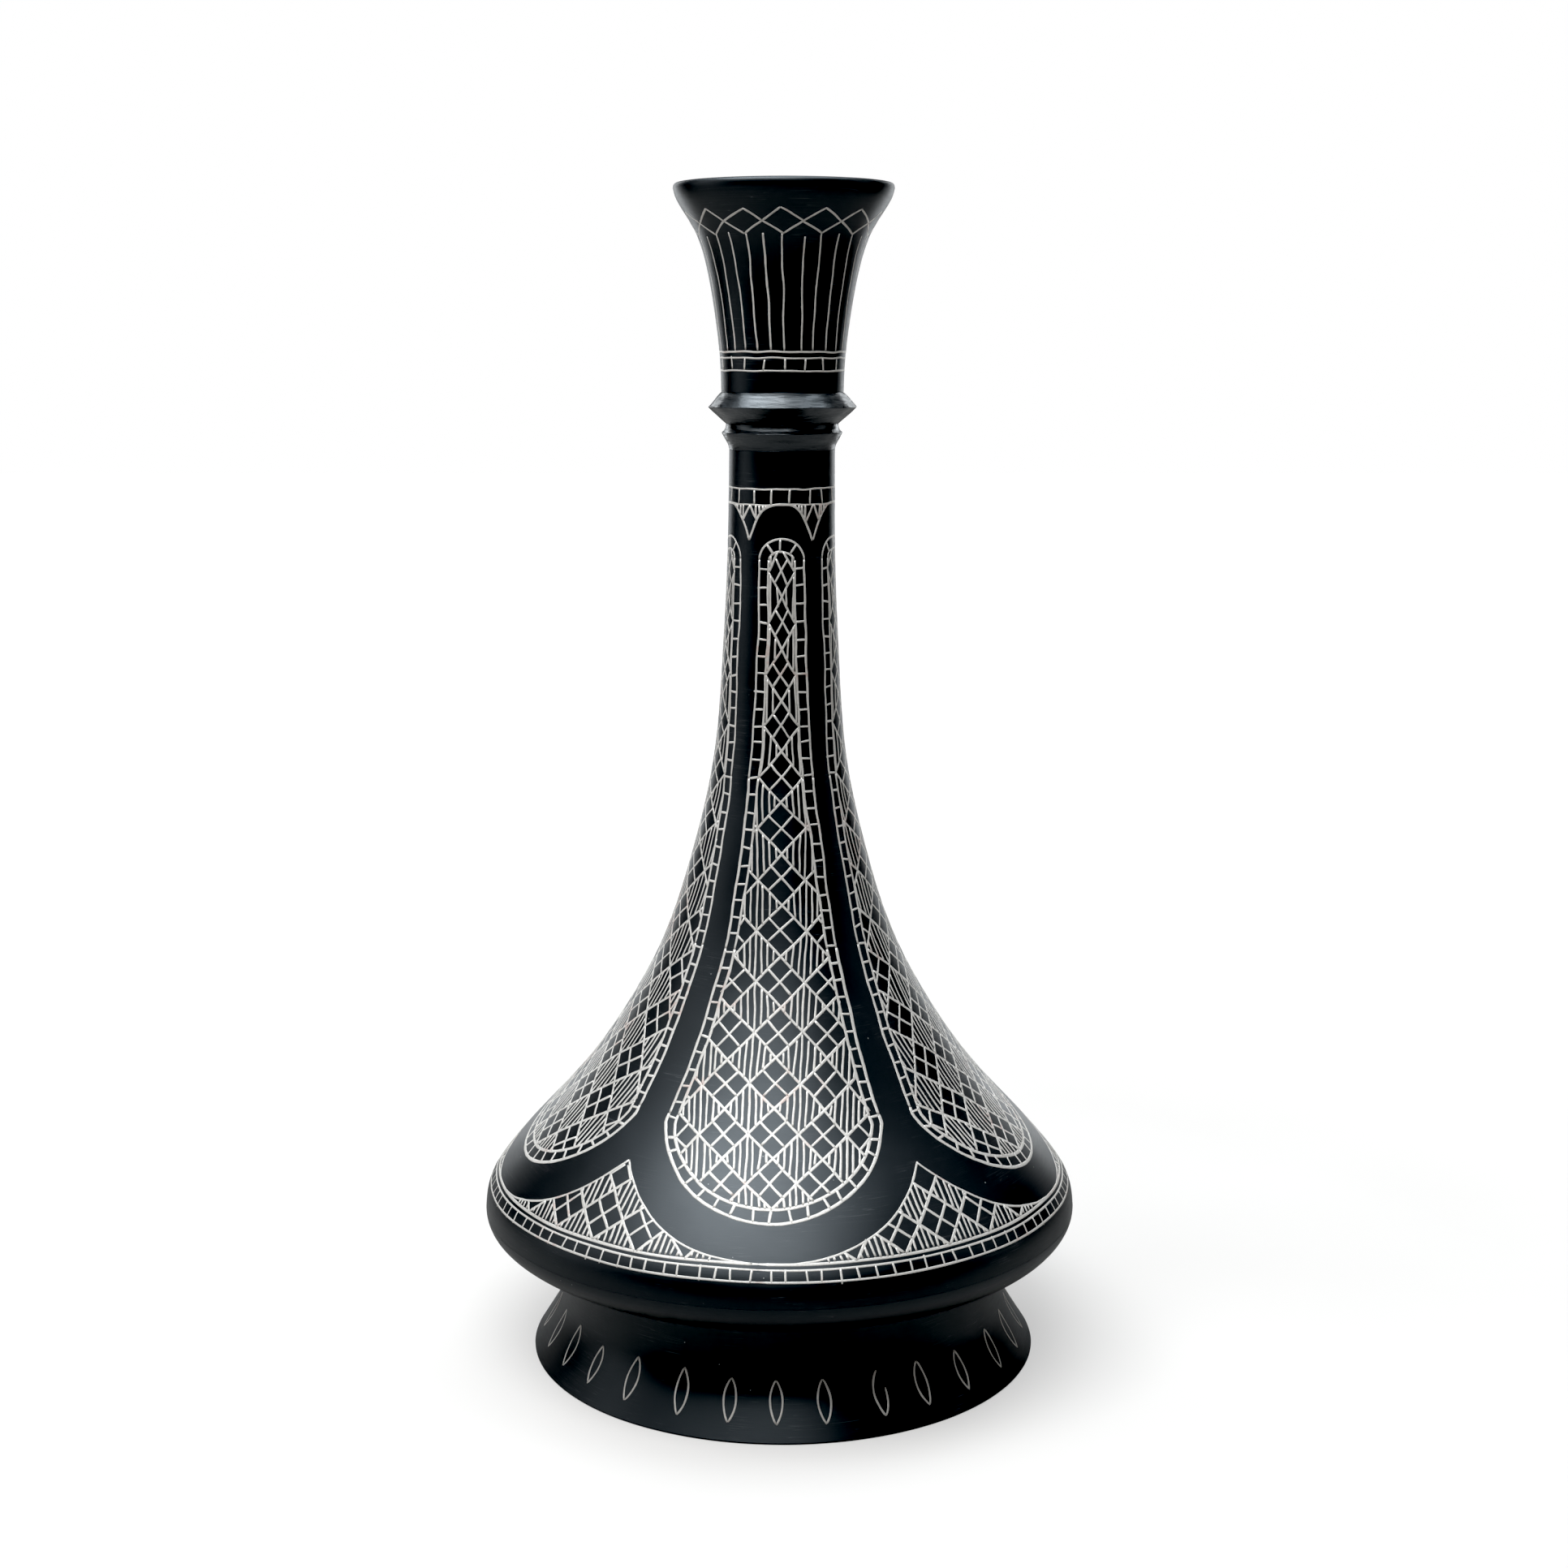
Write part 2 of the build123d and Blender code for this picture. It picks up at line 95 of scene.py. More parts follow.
class Outline:
    """A turned outline: a natural cubic curve through (radius, height) stations."""

    def __init__(self, *stations):
        points = np.array(stations, float)
        knots = np.concatenate([[0.0], np.cumsum(np.hypot(*np.diff(points, axis=0).T))])
        share = np.linspace(0.0, knots[-1], 1200)
        self.r, self.z = (self.cubic(knots, points[:, axis], share) for axis in (0, 1))
        self.s = np.concatenate([[0.0], np.cumsum(np.hypot(np.diff(self.r), np.diff(self.z)))])
        self.length = self.s[-1]

    @staticmethod
    def cubic(knots, values, at):
        """The natural cubic spline that takes the values at the knots."""
        gaps, count = np.diff(knots), len(knots)
        matrix, right = np.eye(count), np.zeros(count)
        for i in range(1, count - 1):
            matrix[i, i - 1 : i + 2] = gaps[i - 1], 2 * (gaps[i - 1] + gaps[i]), gaps[i]
            right[i] = 6 * ((values[i + 1] - values[i]) / gaps[i] - (values[i] - values[i - 1]) / gaps[i - 1])
        bend = np.linalg.solve(matrix, right)
        i = np.clip(np.searchsorted(knots, at) - 1, 0, count - 2)
        a, b, gap = knots[i + 1] - at, at - knots[i], gaps[i]
        curved = (bend[i] * a**3 + bend[i + 1] * b**3) / (6 * gap)
        low = values[i] / gap - bend[i] * gap / 6
        high = values[i + 1] / gap - bend[i + 1] * gap / 6
        return curved + low * a + high * b

    def at(self, along):
        """Radius, height and outward normal, for a number or an array."""
        along = np.clip(along, 0.0, self.length)
        step = 0.05
        before, after = np.clip(along - step, 0, self.length), np.clip(along + step, 0, self.length)
        dr = np.interp(after, self.s, self.r) - np.interp(before, self.s, self.r)
        dz = np.interp(after, self.s, self.z) - np.interp(before, self.s, self.z)
        size = np.hypot(dr, dz)
        return np.interp(along, self.s, self.r), np.interp(along, self.s, self.z), dz / size, -dr / size

    def stations(self, step, first=0.0, last=None, inset=0.0):
        """Evenly spaced (radius, height) stations along the outline, or inset from it."""
        last = self.length if last is None else last
        count = max(2, int(abs(last - first) / step) + 1)
        r, z, out, up = self.at(np.linspace(first, last, count))
        return list(zip(r - inset * out, z - inset * up))

    def degrees(self, width, along):
        """The angle round the axis that a width takes up on the wall."""
        return np.degrees(width / self.at(along)[0])


BELL = Outline(
    SHOULDER, (52.1, 30), (49.7, 34), (42.8, 42), (35.6, 50), (27.1, 62), (20.3, 75), (14.8, 92),
    (11.4, 108), (10.1, 124), (9.3, 140), NECK_TOP,
)
CUP = Outline(
    CUP_FOOT, (10.6, 175), (11.35, 182), (12.75, 190), (14.75, 196), (17.2, 200), (18.3, 202.1),
    (18.56, 203.1),
)
FOOT = Outline((45.1, 0.25), (42.4, 4.5), (40.0, 9), (39.2, 14), SEAT)


def lean(points):
    """The neck and the mouth stand a little to the right of the bell's axis, and so does the foot."""
    out = points.copy()
    rise = np.maximum(points[:, 2] - LEAN_START, 0.0)
    drop = np.clip((ASIDE_START - points[:, 2]) / (ASIDE_START - SEAT[1]), 0.0, 1.0)
    neck = LEAN * (rise - LEAN_EASE * (1 - np.exp(-rise / LEAN_EASE)))
    foot = FOOT_ASIDE * drop * drop * (3 - 2 * drop)
    out[:, 0] += neck + foot
    return out


def unevenness(points):
    """Slow rise and fall of the hand-finished wall at some points, in millimetres."""
    return np.array([sum(high * noise.noise(Vector(p) / broad) for high, broad in SWELLS) for p in points])


def skin(outline, angle, along):
    """Points on the finished wall of a casting, and the wall's normals there."""
    r, z, out, up = outline.at(along)
    turn = np.radians(angle)
    ways = np.stack([np.sin(turn), -np.cos(turn)], axis=-1)
    flat = np.column_stack([ways * r[:, None], z])
    normal = np.column_stack([ways * out[:, None], up])
    return flat + normal * unevenness(flat)[:, None], normal


# Castings ---------------------------------------------------------------------------------------


def make_object(name, points, faces, material):
    """A mesh piece of the flask, from points in millimetres."""
    mesh = bpy.data.meshes.new(name)
    mesh.from_pydata((lean(np.asarray(points)) * METRE).tolist(), [], faces)
    mesh.shade_smooth()
    mesh.materials.append(material)
    mesh.validate()
    piece = bpy.data.objects.new(name, mesh)
    bpy.context.scene.collection.objects.link(piece)
    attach(piece, "root")
    return piece


def turn_loop(loop, closed_on_axis=False):
    """Turns a half-section about the axis; a section on the axis is closed with a fan."""
    loop = np.array(loop)
    rows = len(loop)
    angle = np.arange(SEGMENTS) * 2 * math.pi / SEGMENTS
    points = np.stack(
        [
            np.outer(loop[:, 0], np.sin(angle)),
            -np.outer(loop[:, 0], np.cos(angle)),
            np.repeat(loop[:, 1:2], SEGMENTS, axis=1),
        ],
        axis=-1,
    ).reshape(-1, 3)

    def corner(i, k):
        return (i % rows) * SEGMENTS + k % SEGMENTS

    faces = []
    for i in range(rows - 1 if closed_on_axis else rows):
        for k in range(SEGMENTS):
            faces.append((corner(i, k), corner(i, k + 1), corner(i + 1, k + 1), corner(i + 1, k)))
    if closed_on_axis:
        faces.append(tuple(corner(0, k) for k in reversed(range(SEGMENTS))))
        faces.append(tuple(corner(rows - 1, k) for k in range(SEGMENTS)))
    return points, faces


def file_outside(points, filed):
    """Moves the outside of a filed collar up or down, and in or out, by up to a distance."""
    for point in points:
        radius = math.hypot(point[0], point[1])
        share = filed * min(1.0, max(0.0, radius - FILED_FROM))
        if share > 0:
            way = Vector((point[0] / 6, point[1] / 6, point[2] / 9))
            point[2] += share * noise.noise(way * 1.3)
            point[:2] *= 1 + share * noise.noise(way * 2.2 + Vector((9, 4, 2))) / radius


def casting(node, loop, material, edge, closed_on_axis=False, filed=0.0):
    """One casting that stands for its CAD node, with its corners eased by an edge radius."""
    points, faces = turn_loop(loop, closed_on_axis)
    file_outside(points, filed)
    radius = np.hypot(points[:, 0], points[:, 1])[:, None]
    away = np.column_stack([points[:, :2] / np.maximum(radius, 1e-6), np.zeros(len(points))])
    points = points + away * unevenness(points)[:, None]
    piece = make_object(node + "_casting", points, faces, material)
    ease = piece.modifiers.new("eased_edges", "BEVEL")
    ease.width = edge * METRE
    ease.segments = 3
    ease.limit_method = "ANGLE"
    ease.angle_limit = math.radians(28)
    ease.harden_normals = True
    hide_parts(node)


def line(*stations, step=0.8):
    """Stations along straight runs, close enough together to follow the uneven wall."""
    out = []
    for (r0, z0), (r1, z1) in zip(stations, stations[1:]):
        count = max(1, int(math.hypot(r1 - r0, z1 - z0) / step))
        out += [(r0 + (r1 - r0) * i / count, z0 + (z1 - z0) * i / count) for i in range(count)]
    return out


def make_foot(material):
    under = (36.0, SEAT[1] - WALL)
    inside = Outline(under, (37.3, 14), (38.0, 9), (40.3, 4.5), (42.9, 0.2))
    flange = line(SEAT, (FOOT_BORE_R, SEAT[1]), (FOOT_BORE_R, under[1]), under, step=2.0)
    lip = [(43.1, 0.0), (44.0, 0.0), (44.85, 0.0)]
    casting("foot_ring", FOOT.stations(0.6) + flange + inside.stations(1.0) + lip, material, edge=0.2)


def make_bowl(material):
    """The dish under the shoulder: elliptical below and in its well, flat on its seat and floor."""
    wide, deep, turned = 21.5, 8.9, math.radians(67.0)
    under = [
        (SHOULDER[0] - wide * (1 - math.cos(a)), SHOULDER[1] - deep * math.sin(a))
        for a in np.linspace(0, turned, 25)
    ]
    hub, well_r, well_z = 2.0, 37.0, 26.4
    well = [
        (well_r + (SPIGOT_IN_R - well_r) * math.sin(a), well_z - (well_z - FLOOR_Z) * math.cos(a))
        for a in np.linspace(0.05, math.pi / 2, 16)
    ]
    rim = line(
        (SPIGOT_IN_R, well_z), (SPIGOT_IN_R, SPIGOT_TOP), (SPIGOT_R, SPIGOT_TOP),
        (SPIGOT_R, SHOULDER[1]), SHOULDER,
    )
    bottom = line((under[-1][0], SEAT[1]), (hub, SEAT[1]), step=4.0)
    floor = line((hub, FLOOR_Z), (well_r, FLOOR_Z), step=4.0)
    loop = floor + well + rim + under + bottom + [(hub, SEAT[1])]
    casting("lower_bowl", loop[::-1], material, edge=0.05, closed_on_axis=True)


def make_bell(material):
    """The bell and neck in one hollow casting, with a socket below and a spigot above."""
    inside = BELL.stations(2.0, 8.0, BELL.length - 20, WALL) + [(BORE_R, NECK_TOP[1])]
    spigot = line(
        NECK_TOP, (SOCKET_R, NECK_TOP[1]), (SOCKET_R, SOCKET_TOP), (BORE_R, SOCKET_TOP), (BORE_R, NECK_TOP[1])
    )
    step = SPIGOT_TOP + SOLDER
    socket = line(inside[0], (SPIGOT_IN_R, step), (SPIGOT_R, step), (SPIGOT_R, SHOULDER[1]), SHOULDER)
    loop = BELL.stations(0.7)[:-1] + spigot + inside[::-1][:-1] + socket
    casting("bell_and_neck", loop, material, edge=0.05)


def make_collars(material):
    """The small bead and the larger sharp collar, each filed to an edge between two curves."""
    over = Outline(WAIST, (9.63, 163.8), (9.85, 163.3), BEAD_EDGE)
    under = Outline(BEAD_EDGE, (9.75, 161.8), (9.2, 160.8), NECK_TOP)
    socket = line(NECK_TOP, (SOCKET_R, NECK_TOP[1]), (SOCKET_R, WAIST[1]), WAIST)
    loop = over.stations(0.2)[:-1] + under.stations(0.2)[:-1] + socket
    casting("lower_collar", loop[::-1], material, edge=0.12, filed=0.12)

    under = Outline(WAIST, (10.6, 165.3), (11.9, 166.45), COLLAR_EDGE)
    over = Outline(COLLAR_EDGE, (11.72, 168.2), (10.82, 169.25), CUP_FOOT)
    socket = line(CUP_FOOT, (SOCKET_R, CUP_FOOT[1]), (SOCKET_R, WAIST[1]), WAIST)
    loop = under.stations(0.2)[:-1] + over.stations(0.2)[:-1] + socket
    casting("upper_collar", loop, material, edge=0.1, filed=0.15)


def make_cup(material):
    """The flared mouth, with a rounded lip and a spigot that enters the upper collar."""
    lip_r, lip_z, half_wide, high, blunt = 17.55, 203.2, 1.0, 0.78, 0.75
    lip = []
    for a in np.linspace(0.1, 2.9, 18):
        across = math.copysign(abs(math.cos(a)) ** blunt, math.cos(a))
        lip.append((lip_r + half_wide * across, lip_z + high * math.sin(a) ** blunt))
    inside = Outline(
        (16.5, lip_z), (15.8, 201.6), (13.3, 197), (11.2, 190.5), (9.7, 182), (8.7, 175.5),
        (BORE_R, CUP_FOOT[1]),
    )
    end = SOCKET_TOP + SOLDER
    spigot = line((BORE_R, CUP_FOOT[1]), (BORE_R, end), (SOCKET_R, end), (SOCKET_R, CUP_FOOT[1]), CUP_FOOT)
    casting("mouth_cup", CUP.stations(0.6) + lip + inside.stations(0.9)[1:-1] + spigot, material, edge=0.06)


# Wires ------------------------------------------------------------------------------------------

# How a wire stands in its groove: (share of its half width, height above the wall)
WIRE_SECTION = (
    (-1.0, -0.08), (-0.96, 0.004), (-0.6, 0.024), (0.0, 0.032), (0.6, 0.024), (0.96, 0.004), (1.0, -0.08),
)

# How a wire is laid by hand: the distance between its sections, how far it wobbles sideways, how far
# from an end it settles and what is left there, how its width swells, and how narrow its ends are
SECTION_STEP = 0.55
WOBBLE, SETTLE, SETTLED = 0.09, 1.5, 0.2
SWELL, END_WIDTH = 0.2, 0.8
SWAY_ACROSS, SWAY_UP = 0.28, 0.2


def crept(outline, along):
    """Degrees by which the layout has crept round the bell, some way along it."""
    if outline is not BELL:
        return 0.0
    return float(np.interp(along, CREEP_ALONG, CREEP_DEGREES))


class Inlay:
    """All the wires of one CAD node, laid by hand: each varies a little in place and width."""

    def __init__(self, node, outline, seed):
        self.node, self.outline = node, outline
        self.hand = random.Random(seed)
        self.points, self.faces = [], []

    def wire(self, path, width, slack=0.08, turn=0.0, closed=False):
        """One wire along (angle, along) stations. Slack is how far its ends may miss their marks."""
        outline, hand = self.outline, self.hand
        path = np.array(path, float)
        radius = outline.at(path[:, 1])[0]
        run = np.hypot(np.radians(np.diff(path[:, 0])) * (radius[1:] + radius[:-1]) / 2, np.diff(path[:, 1]))
        gone = np.concatenate([[0.0], np.cumsum(run)])
        count = max(3, int(gone[-1] / SECTION_STEP) + 2)
        place = np.linspace(0.0, gone[-1], count)
        angle = np.interp(place, gone, path[:, 0]) + turn
        along = np.interp(place, gone, path[:, 1])
        radius = outline.at(along)[0]
        key = hand.uniform(0, 900)
        ends = [hand.gauss(0, slack) for _ in range(4)]
        share = place / gone[-1]
        if closed:
            ends = [0.0] * 4
            key_points = [Vector((math.cos(a), math.sin(a), key)) * 2.5 for a in np.radians(angle)]
        else:
            key_points = [Vector((p * 0.35, key, 0.0)) for p in place]
        wobble = np.array([noise.noise(p) for p in key_points]) * WOBBLE
        if not closed:
            wobble *= np.clip(np.minimum(place, gone[-1] - place) / SETTLE, SETTLED, 1.0)
        swell = np.array([noise.noise(p * 2.1 + Vector((7, 3, 5))) for p in key_points])
        sway_across, sway_up = self.sway(angle, along)
        across = wobble + sway_across + ends[0] * (1 - share) + ends[1] * share
        up = wobble * 0.6 + sway_up + ends[2] * (1 - share) + ends[3] * share
        along = along + up
        creep = np.array([crept(outline, a) for a in along])
        angle = angle + creep + np.degrees(across / radius)
        half = width / 2 * hand.uniform(0.92, 1.1) * (1 + SWELL * swell)
        self.strip(angle, along, half, closed)

    def sway(self, angle, along):
        """Slow drift of the whole layout, shared by every wire, so that joints stay joined."""
        turn = np.radians(angle)
        spots = [Vector((3.2 * math.sin(t), 3.2 * math.cos(t), a / 7.0)) for t, a in zip(turn, along)]
        across = np.array([noise.noise(p) for p in spots]) * SWAY_ACROSS
        up = np.array([noise.noise(p + Vector((31, 17, 11))) for p in spots]) * SWAY_UP
        return across, up

    def strip(self, angle, along, half, closed):
        """A closed strip of wire on the wall; an open one has a cap at each end."""
        if not closed:
            half[[0, -1]] *= END_WIDTH
        centre, normal = skin(self.outline, angle, along)
        if closed:
            ahead = np.roll(centre, -1, axis=0) - np.roll(centre, 1, axis=0)
        else:
            ahead = np.gradient(centre, axis=0)
        side = np.cross(normal, ahead)
        side /= np.linalg.norm(side, axis=1)[:, None]
        first = sum(len(p) for p in self.points)
        count, wide = len(angle), len(WIRE_SECTION)
        rows = np.stack([centre + side * (half * k)[:, None] + normal * h for k, h in WIRE_SECTION], axis=1)
        self.points.append(rows.reshape(-1, 3))

        def corner(i, k):
            return first + (i % count) * wide + k % wide

        for i in range(count if closed else count - 1):
            for k in range(wide):
                self.faces.append((corner(i, k), corner(i + 1, k), corner(i + 1, k + 1), corner(i, k + 1)))
        if not closed:
            self.faces.append(tuple(corner(0, k) for k in range(wide)))
            self.faces.append(tuple(corner(count - 1, k) for k in reversed(range(wide))))

    def ring(self, along, width):
        """A wire all the way round."""
        self.wire([(a, along) for a in range(0, 360, 4)], width, closed=True)

    def ticks(self, count, low, high, width, first=0.0, stray=0.0, slack=0.15):
        """Short upright wires, evenly spaced but for a stray of up to some degrees."""
        for k in range(count):
            angle = 360 / count * k + first + self.hand.uniform(-stray, stray)
            self.wire([(angle, low), (angle, high)], width, slack)

    def done(self, material):
        """Makes the piece that stands for the CAD node."""
        points = np.concatenate(self.points)
        piece = make_object(self.node + "_wire", points, self.faces, material)
        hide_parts(self.node)


# Layout of the inlay ----------------------------------------------------------------------------


def side_angle(along):
    """Half-angle of a panel between its round ends."""
    stops, angles = zip(*PANEL_SIDES)
    return float(np.interp(along, stops, angles))


def panel_half_angle(along, inset):
    """Half-angle of a panel's outline, moved in by an inset."""
    half = side_angle(along) - BELL.degrees(inset, along)
    if along < PANEL_SPRING:
        depth = (PANEL_SPRING - along) / (PANEL_SPRING - PANEL_BOTTOM - BOTTOM_BORDER * inset)
        return BELL.degrees(panel_width(inset), along) * math.sqrt(max(0.0, 1 - depth**2))
    if along > PANEL_ARCH:
        rise = (along - PANEL_ARCH) / (PANEL_TOP - PANEL_ARCH - TOP_BORDER * inset)
        return half * math.sqrt(max(0.0, 1 - rise**2))
    return half


def panel_width(inset):
    """Half the width of a panel where its bottom springs, on the wall, in millimetres."""
    return math.radians(PANEL_SIDES[0][1]) * BELL.at(PANEL_SPRING)[0] - inset


def panel_end_point(inset, turn, top):
    """A point on the round top or bottom of a panel; turn runs 0 to 180 degrees from side to side."""
    reach, swing = math.cos(math.radians(turn)), math.sin(math.radians(turn))
    if top:
        along = PANEL_ARCH + (PANEL_TOP - PANEL_ARCH - TOP_BORDER * inset) * swing
        return (side_angle(PANEL_ARCH) - BELL.degrees(inset, PANEL_ARCH)) * reach, along
    along = PANEL_SPRING - (PANEL_SPRING - PANEL_BOTTOM - BOTTOM_BORDER * inset) * swing
    return BELL.degrees(panel_width(inset) * reach, along), along


def gauge(low, high):
    """Wire width that thins from the foot of a panel to its top."""
    return lambda along: float(np.interp(along, (20, 75, 125), (low, (low + high) / 2 - 0.03, high)))


NET_GAUGE, HATCH_GAUGE, EDGE_GAUGE = gauge(0.52, 0.37), gauge(0.43, 0.31), gauge(0.60, 0.36)


class Lattice:
    """Diamonds between crossed wires; every other diamond is hatched, and the rest are quartered.

    It is counted in columns from the middle, u, and in rows from its start, v."""

    SHORTEST, TEST_STEP, STATION_STEP = 0.7, 0.25, 1.2

    def __init__(self, start, row, column, sag, columns, rows, plain_above, contains):
        self.start, self.row, self.column, self.sag = start, row, column, sag
        self.columns, self.rows, self.plain_above, self.contains = columns, rows, plain_above, contains

    def place(self, u, v):
        """The angle and the distance along at a column and row."""
        along = self.start + self.row * v - self.sag * u * u
        return u * self.column(along), along

    def kept(self, start, end):
        """The part of a straight lattice line inside the outline, as closely spaced stations."""
        start, end = np.array(start), np.array(end)
        length = math.hypot(*(end - start)) * self.row
        shares = np.linspace(0, 1, max(6, int(length / self.TEST_STEP)))
        inside = [t for t in shares if self.contains(*self.place(*(start + (end - start) * t)))]
        if not inside or (inside[-1] - inside[0]) * length < self.SHORTEST:
            return None
        count = max(2, int((inside[-1] - inside[0]) * length / self.STATION_STEP) + 1)
        return [self.place(*(start + (end - start) * t)) for t in np.linspace(inside[0], inside[-1], count)]

    def nodes(self, odd_columns, odd_rows):
        """The crossings with odd or even columns and rows."""
        for i in range(-self.columns, self.columns + 1):
            for j in range(-3, self.rows + 1):
                if i % 2 == odd_columns and j % 2 == odd_rows:
                    yield i, j

    def draw_net(self, inlay, turn):
        """The long crossed wires, and the shorter ones that quarter the plain diamonds."""
        wide = self.columns + 0.5
        for c in range(-6, self.rows + 6, 2):
            for hand in (1, -1):
                path = self.kept((-wide * hand, c - wide), (wide * hand, c + wide))
                if path:
                    inlay.wire(path, NET_GAUGE(path[len(path) // 2][1]), slack=0.1, turn=turn)
        for i, j in self.nodes(0, 1):
            if j > self.plain_above:
                continue
            for hand in (1, -1):
                path = self.kept((i - 0.5 * hand, j - 0.5), (i + 0.5 * hand, j + 0.5))
                if path:
                    inlay.wire(path, NET_GAUGE(path[0][1]) * 0.92, slack=0.12, turn=turn)

    def draw_hatch(self, inlay, turn):
        """Upright wires in every other diamond, nearer the border up the neck."""
        for i, j in self.nodes(1, 0):
            along = self.place(i, j)[1]
            step = HATCH_PITCH / (math.radians(self.column(along)) * BELL.at(along)[0])
            shift = float(np.interp(along, (85, 98), (0.0, -0.35)))
            for k in range(-4, 5):
                u = i + (k - math.copysign(shift, i)) * step * inlay.hand.uniform(0.97, 1.03)
                half = 1 - abs(u - i)
                if half <= 0.12:
                    continue
                path = self.kept((u, j - half), (u, j + half))
                if path:
                    inlay.wire(path, HATCH_GAUGE(along), slack=0.09, turn=turn)


def panel_lattice():
    def column(along):
        inner = side_angle(along) - BELL.degrees(BORDER, along)
        return min(float(BELL.degrees(4.17, along)), inner)

    def contains(angle, along):
        if not PANEL_BOTTOM + 2 < along < PANEL_TOP - 1.6:
            return False
        return abs(angle) < panel_half_angle(along, BORDER) + 0.3

    return Lattice(
        start=25.2, row=4.34, column=column, sag=0.12, columns=4, rows=24, plain_above=99, contains=contains
    )


def spandrel_height(angle):
    """How far up the wall a spandrel's curved side stands, at an angle from its tip."""
    away = min(1.0, abs(angle) / (PITCH / 2))
    return SPANDREL_BASE + (SPANDREL_TIP - SPANDREL_BASE) * (1 - away) ** SPANDREL_CURVE


def spandrel_lattice():
    def column(along):
        return float(BELL.degrees(4.35, along))

    def contains(angle, along):
        return abs(angle) < 31 and SPANDREL_BASE < along < spandrel_height(angle) + 0.1

    return Lattice(
        start=SPANDREL_BASE, row=4.5, column=column, sag=0.0, columns=6, rows=3, plain_above=2,
        contains=contains,
    )


def inlay_panel_outline(inlay, turn):
    """Two outlines a border apart, each a bottom, sides in three lengths, and a top."""
    for inset in (0.0, BORDER):
        corner = panel_half_angle(BOTTOM_WIRE_TOP, inset)
        bottom = [panel_end_point(inset, t, False) for t in range(180, -1, -6)]
        bottom = [(-corner, BOTTOM_WIRE_TOP)] + bottom + [(corner, BOTTOM_WIRE_TOP)]
        inlay.wire(bottom, EDGE_GAUGE(22), slack=0.03, turn=turn)
        stops = np.linspace(BOTTOM_WIRE_TOP, PANEL_ARCH, 50)
        for hand in (1, -1):
            side = [(hand * panel_half_angle(along, inset), along) for along in stops]
            for length, along in ((side[:16], 45), (side[15:31], 75), (side[30:], 110)):
                inlay.wire(length, EDGE_GAUGE(along), slack=0.03, turn=turn)
        top = [panel_end_point(inset, t, True) for t in range(0, 181, 10)]
        inlay.wire(top, EDGE_GAUGE(125), slack=0.05, turn=turn)


def inlay_panel_rungs(inlay, turn):
    """Short wires that cross a panel's border like the rungs of a ladder."""
    for hand in (1, -1):
        along = PANEL_ARCH - 1.6
        while along > PANEL_SPRING - 1:
            ends = [(hand * panel_half_angle(along, inset), along) for inset in (BORDER, 0.0)]
            inlay.wire(ends, width=0.42 if along < 60 else 0.36, slack=0.12, turn=turn)
            along -= RUNG_STEP * inlay.hand.uniform(0.94, 1.06)
    for t in range(10, 180, 10):
        ends = [panel_end_point(i, t + inlay.hand.uniform(-1.5, 1.5), False) for i in (BORDER, 0.0)]
        inlay.wire(ends, width=0.5, slack=0.12, turn=turn)
    for t in (48, 91, 132):
        inlay.wire([panel_end_point(i, t, True) for i in (BORDER, 0.0)], width=0.38, slack=0.1, turn=turn)


def inlay_panels(material):
    lattice = panel_lattice()
    parts = {
        "outline": inlay_panel_outline, "rungs": inlay_panel_rungs,
        "net": lattice.draw_net, "hatch": lattice.draw_hatch,
    }
    for number in range(PANELS):
        for seed, (part, draw) in enumerate(parts.items(), start=1):
            inlay = Inlay(f"panel_{number + 1}_{part}", BELL, 100 * seed + number)
            draw(inlay, number * PITCH)
            inlay.done(material)


def inlay_spandrel_outline(inlay, turn):
    for hand in (1, -1):
        side = [(hand * a, spandrel_height(a)) for a in np.linspace(33, 0, 34)]
        inlay.wire(side, width=0.40, slack=0.05, turn=turn)


def inlay_spandrels(material):
    """The lattice-filled spaces between the panels; the last one's tip is filled with a chevron."""
    lattice = spandrel_lattice()
    for number in range(PANELS):
        turn = (number + 0.5) * PITCH
        name = f"spandrel_{number + 1}_"
        outline = Inlay(name + "outline", BELL, 500 + number)
        inlay_spandrel_outline(outline, turn)
        outline.done(material)
        net = Inlay(name + "net", BELL, 600 + number)
        lattice.draw_net(net, turn)
        if number == PANELS - 1:
            for hand in (1, -1):
                net.wire([(hand * 3.0, 18.6), (hand * 0.4, 21.0)], width=0.42, slack=0.03, turn=turn)
        net.done(material)
        hatch = Inlay(name + "hatch", BELL, 700 + number)
        lattice.draw_hatch(hatch, turn)
        hatch.done(material)


def inlay_shoulder(material):
    rings = Inlay("shoulder_rings", BELL, 1)
    for along, width in SHOULDER_RINGS:
        rings.ring(along, width)
    rings.done(material)
    ticks = Inlay("shoulder_ticks", BELL, 2)
    ticks.ticks(SHOULDER_TICKS, 4.3, 6.5, width=0.36, stray=0.5, slack=0.1)
    ticks.done(material)


def inlay_neck(material):
    rings = Inlay("neck_rings", BELL, 3)
    for along in NECK_RINGS:
        rings.ring(along, width=0.30)
    rings.done(material)
    ticks = Inlay("neck_ticks", BELL, 4)
    ticks.ticks(NECK_TICKS, NECK_RINGS[0] + 0.1, NECK_RINGS[1] - 0.1, width=0.34, first=10, stray=2.5)
    ticks.done(material)


def pendant_height(angle):
    """Lower edge of the pendants under the neck band, at an angle from a panel's middle line."""
    half = PITCH / 2
    return NECK_RINGS[0] - (NECK_RINGS[0] - PENDANT_TIP) * (min(abs(angle), half) / half) ** 3


